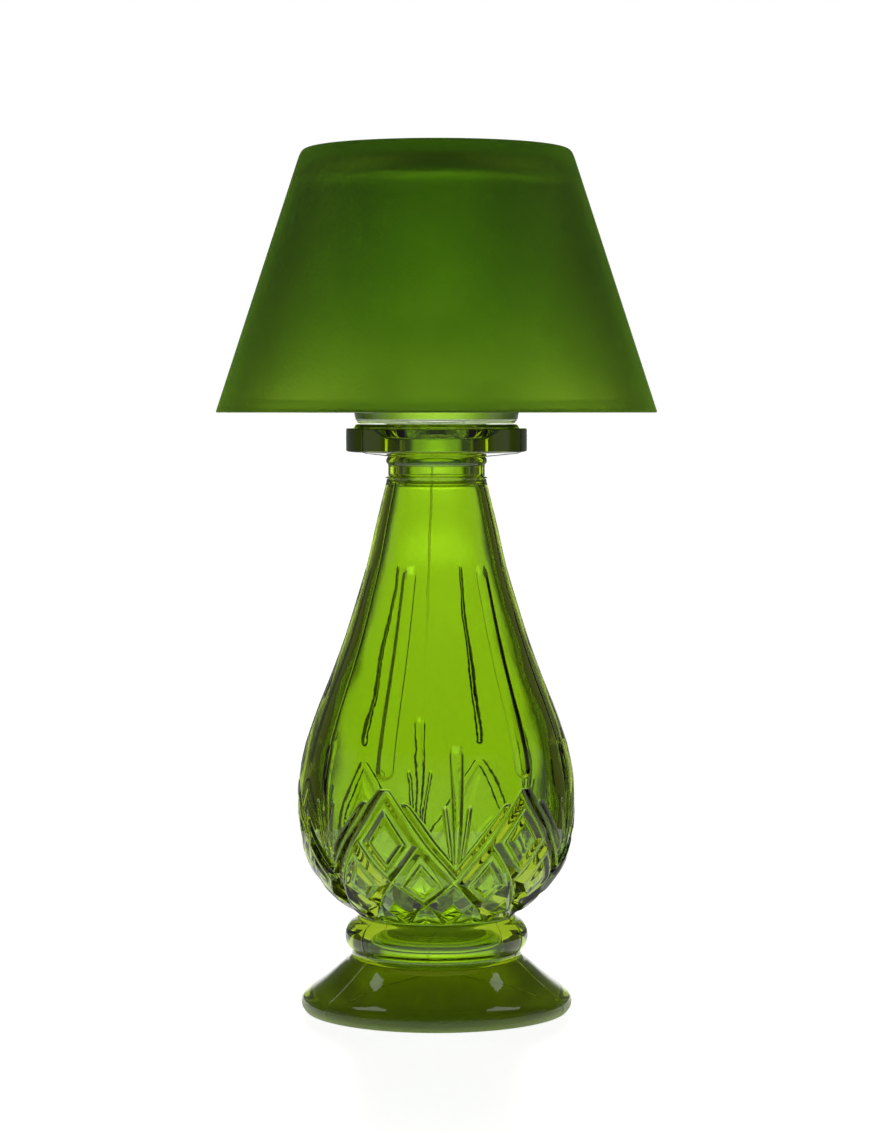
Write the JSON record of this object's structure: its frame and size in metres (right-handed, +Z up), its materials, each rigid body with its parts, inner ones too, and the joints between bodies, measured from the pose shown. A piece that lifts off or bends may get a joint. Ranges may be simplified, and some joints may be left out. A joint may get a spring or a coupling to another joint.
{
  "type": "glass table lantern",
  "caption": "Free-standing glass table lantern: hollow cut-pattern base, clear cup, closed satin shade and a small battery light.",
  "frame": {"origin": "centre of the foot, on the surface that the lantern stands on", "axes": "+Z up, along the axis of the base; -Y towards the light's switch"},
  "size_m": [0.1378, 0.1378, 0.2705],
  "materials": {
    "green_glass": "clear yellow-green glass, fire polished, with a cut pattern on the belly",
    "clear_glass": "clear colourless glass, fire polished",
    "green_satin_glass": "green glass with a satin, acid-etched surface",
    "white_plastic": "moulded ivory white plastic, fine matt grain",
    "cap_plastic": "moulded ivory white plastic, fine matt grain",
    "diffuser_plastic": "milky translucent soft plastic",
    "lamp_epoxy": "clear warm-tinted epoxy",
    "tinned_steel": "tinned wire",
    "board_laminate": "green solder mask over laminate",
    "resistor_ceramic": "black coated ceramic chip",
    "switch_steel": "folded plated steel can",
    "knob_plastic": "moulded black plastic",
    "cell_steel": "nickel-plated steel can",
    "tray_plastic": "moulded white plastic",
    "contact_steel": "plated spring steel strip",
    "screw_steel": "zinc-plated steel"
  },
  "bodies": {
    "base": {"glass_base": "green_glass"},
    "cup": {"glass_cup": "clear_glass"},
    "shade": {"glass_shade": "green_satin_glass"},
    "light": {"light_housing": "white_plastic", "flame_lens": "diffuser_plastic", "led_lamp": "lamp_epoxy", "led_leads": "tinned_steel", "circuit_board": "board_laminate", "chip_resistor": "resistor_ceramic", "switch_body": "switch_steel", "coin_cell": "cell_steel", "battery_tray": "tray_plastic", "positive_contact": "contact_steel", "negative_contact": "contact_steel", "housing_screws": "screw_steel"},
    "bottom_cap": {"base_cap": "cap_plastic"},
    "knob": {"switch_knob": "knob_plastic"}
  },
  "joints": [
    {"name": "cup_lift", "type": "slide", "parent": "base", "child": "cup", "axis": [0, 0, 1], "range_m": [0, 0.03]},
    {"name": "shade_lift", "type": "slide", "parent": "cup", "child": "shade", "axis": [0, 0, 1], "range_m": [0, 0.09]},
    {"name": "light_lift", "type": "slide", "parent": "cup", "child": "light", "axis": [0, 0, 1], "range_m": [0, 0.03]},
    {"name": "cap_twist", "type": "hinge", "parent": "light", "child": "bottom_cap", "pos_m": [0, 0, 0.1908], "axis": [0, 0, 1], "range_deg": [0, 20]},
    {"name": "switch_slide", "type": "slide", "parent": "light", "child": "knob", "axis": [1, 0, 0], "range_m": [0, 0.0025]}
  ]
}
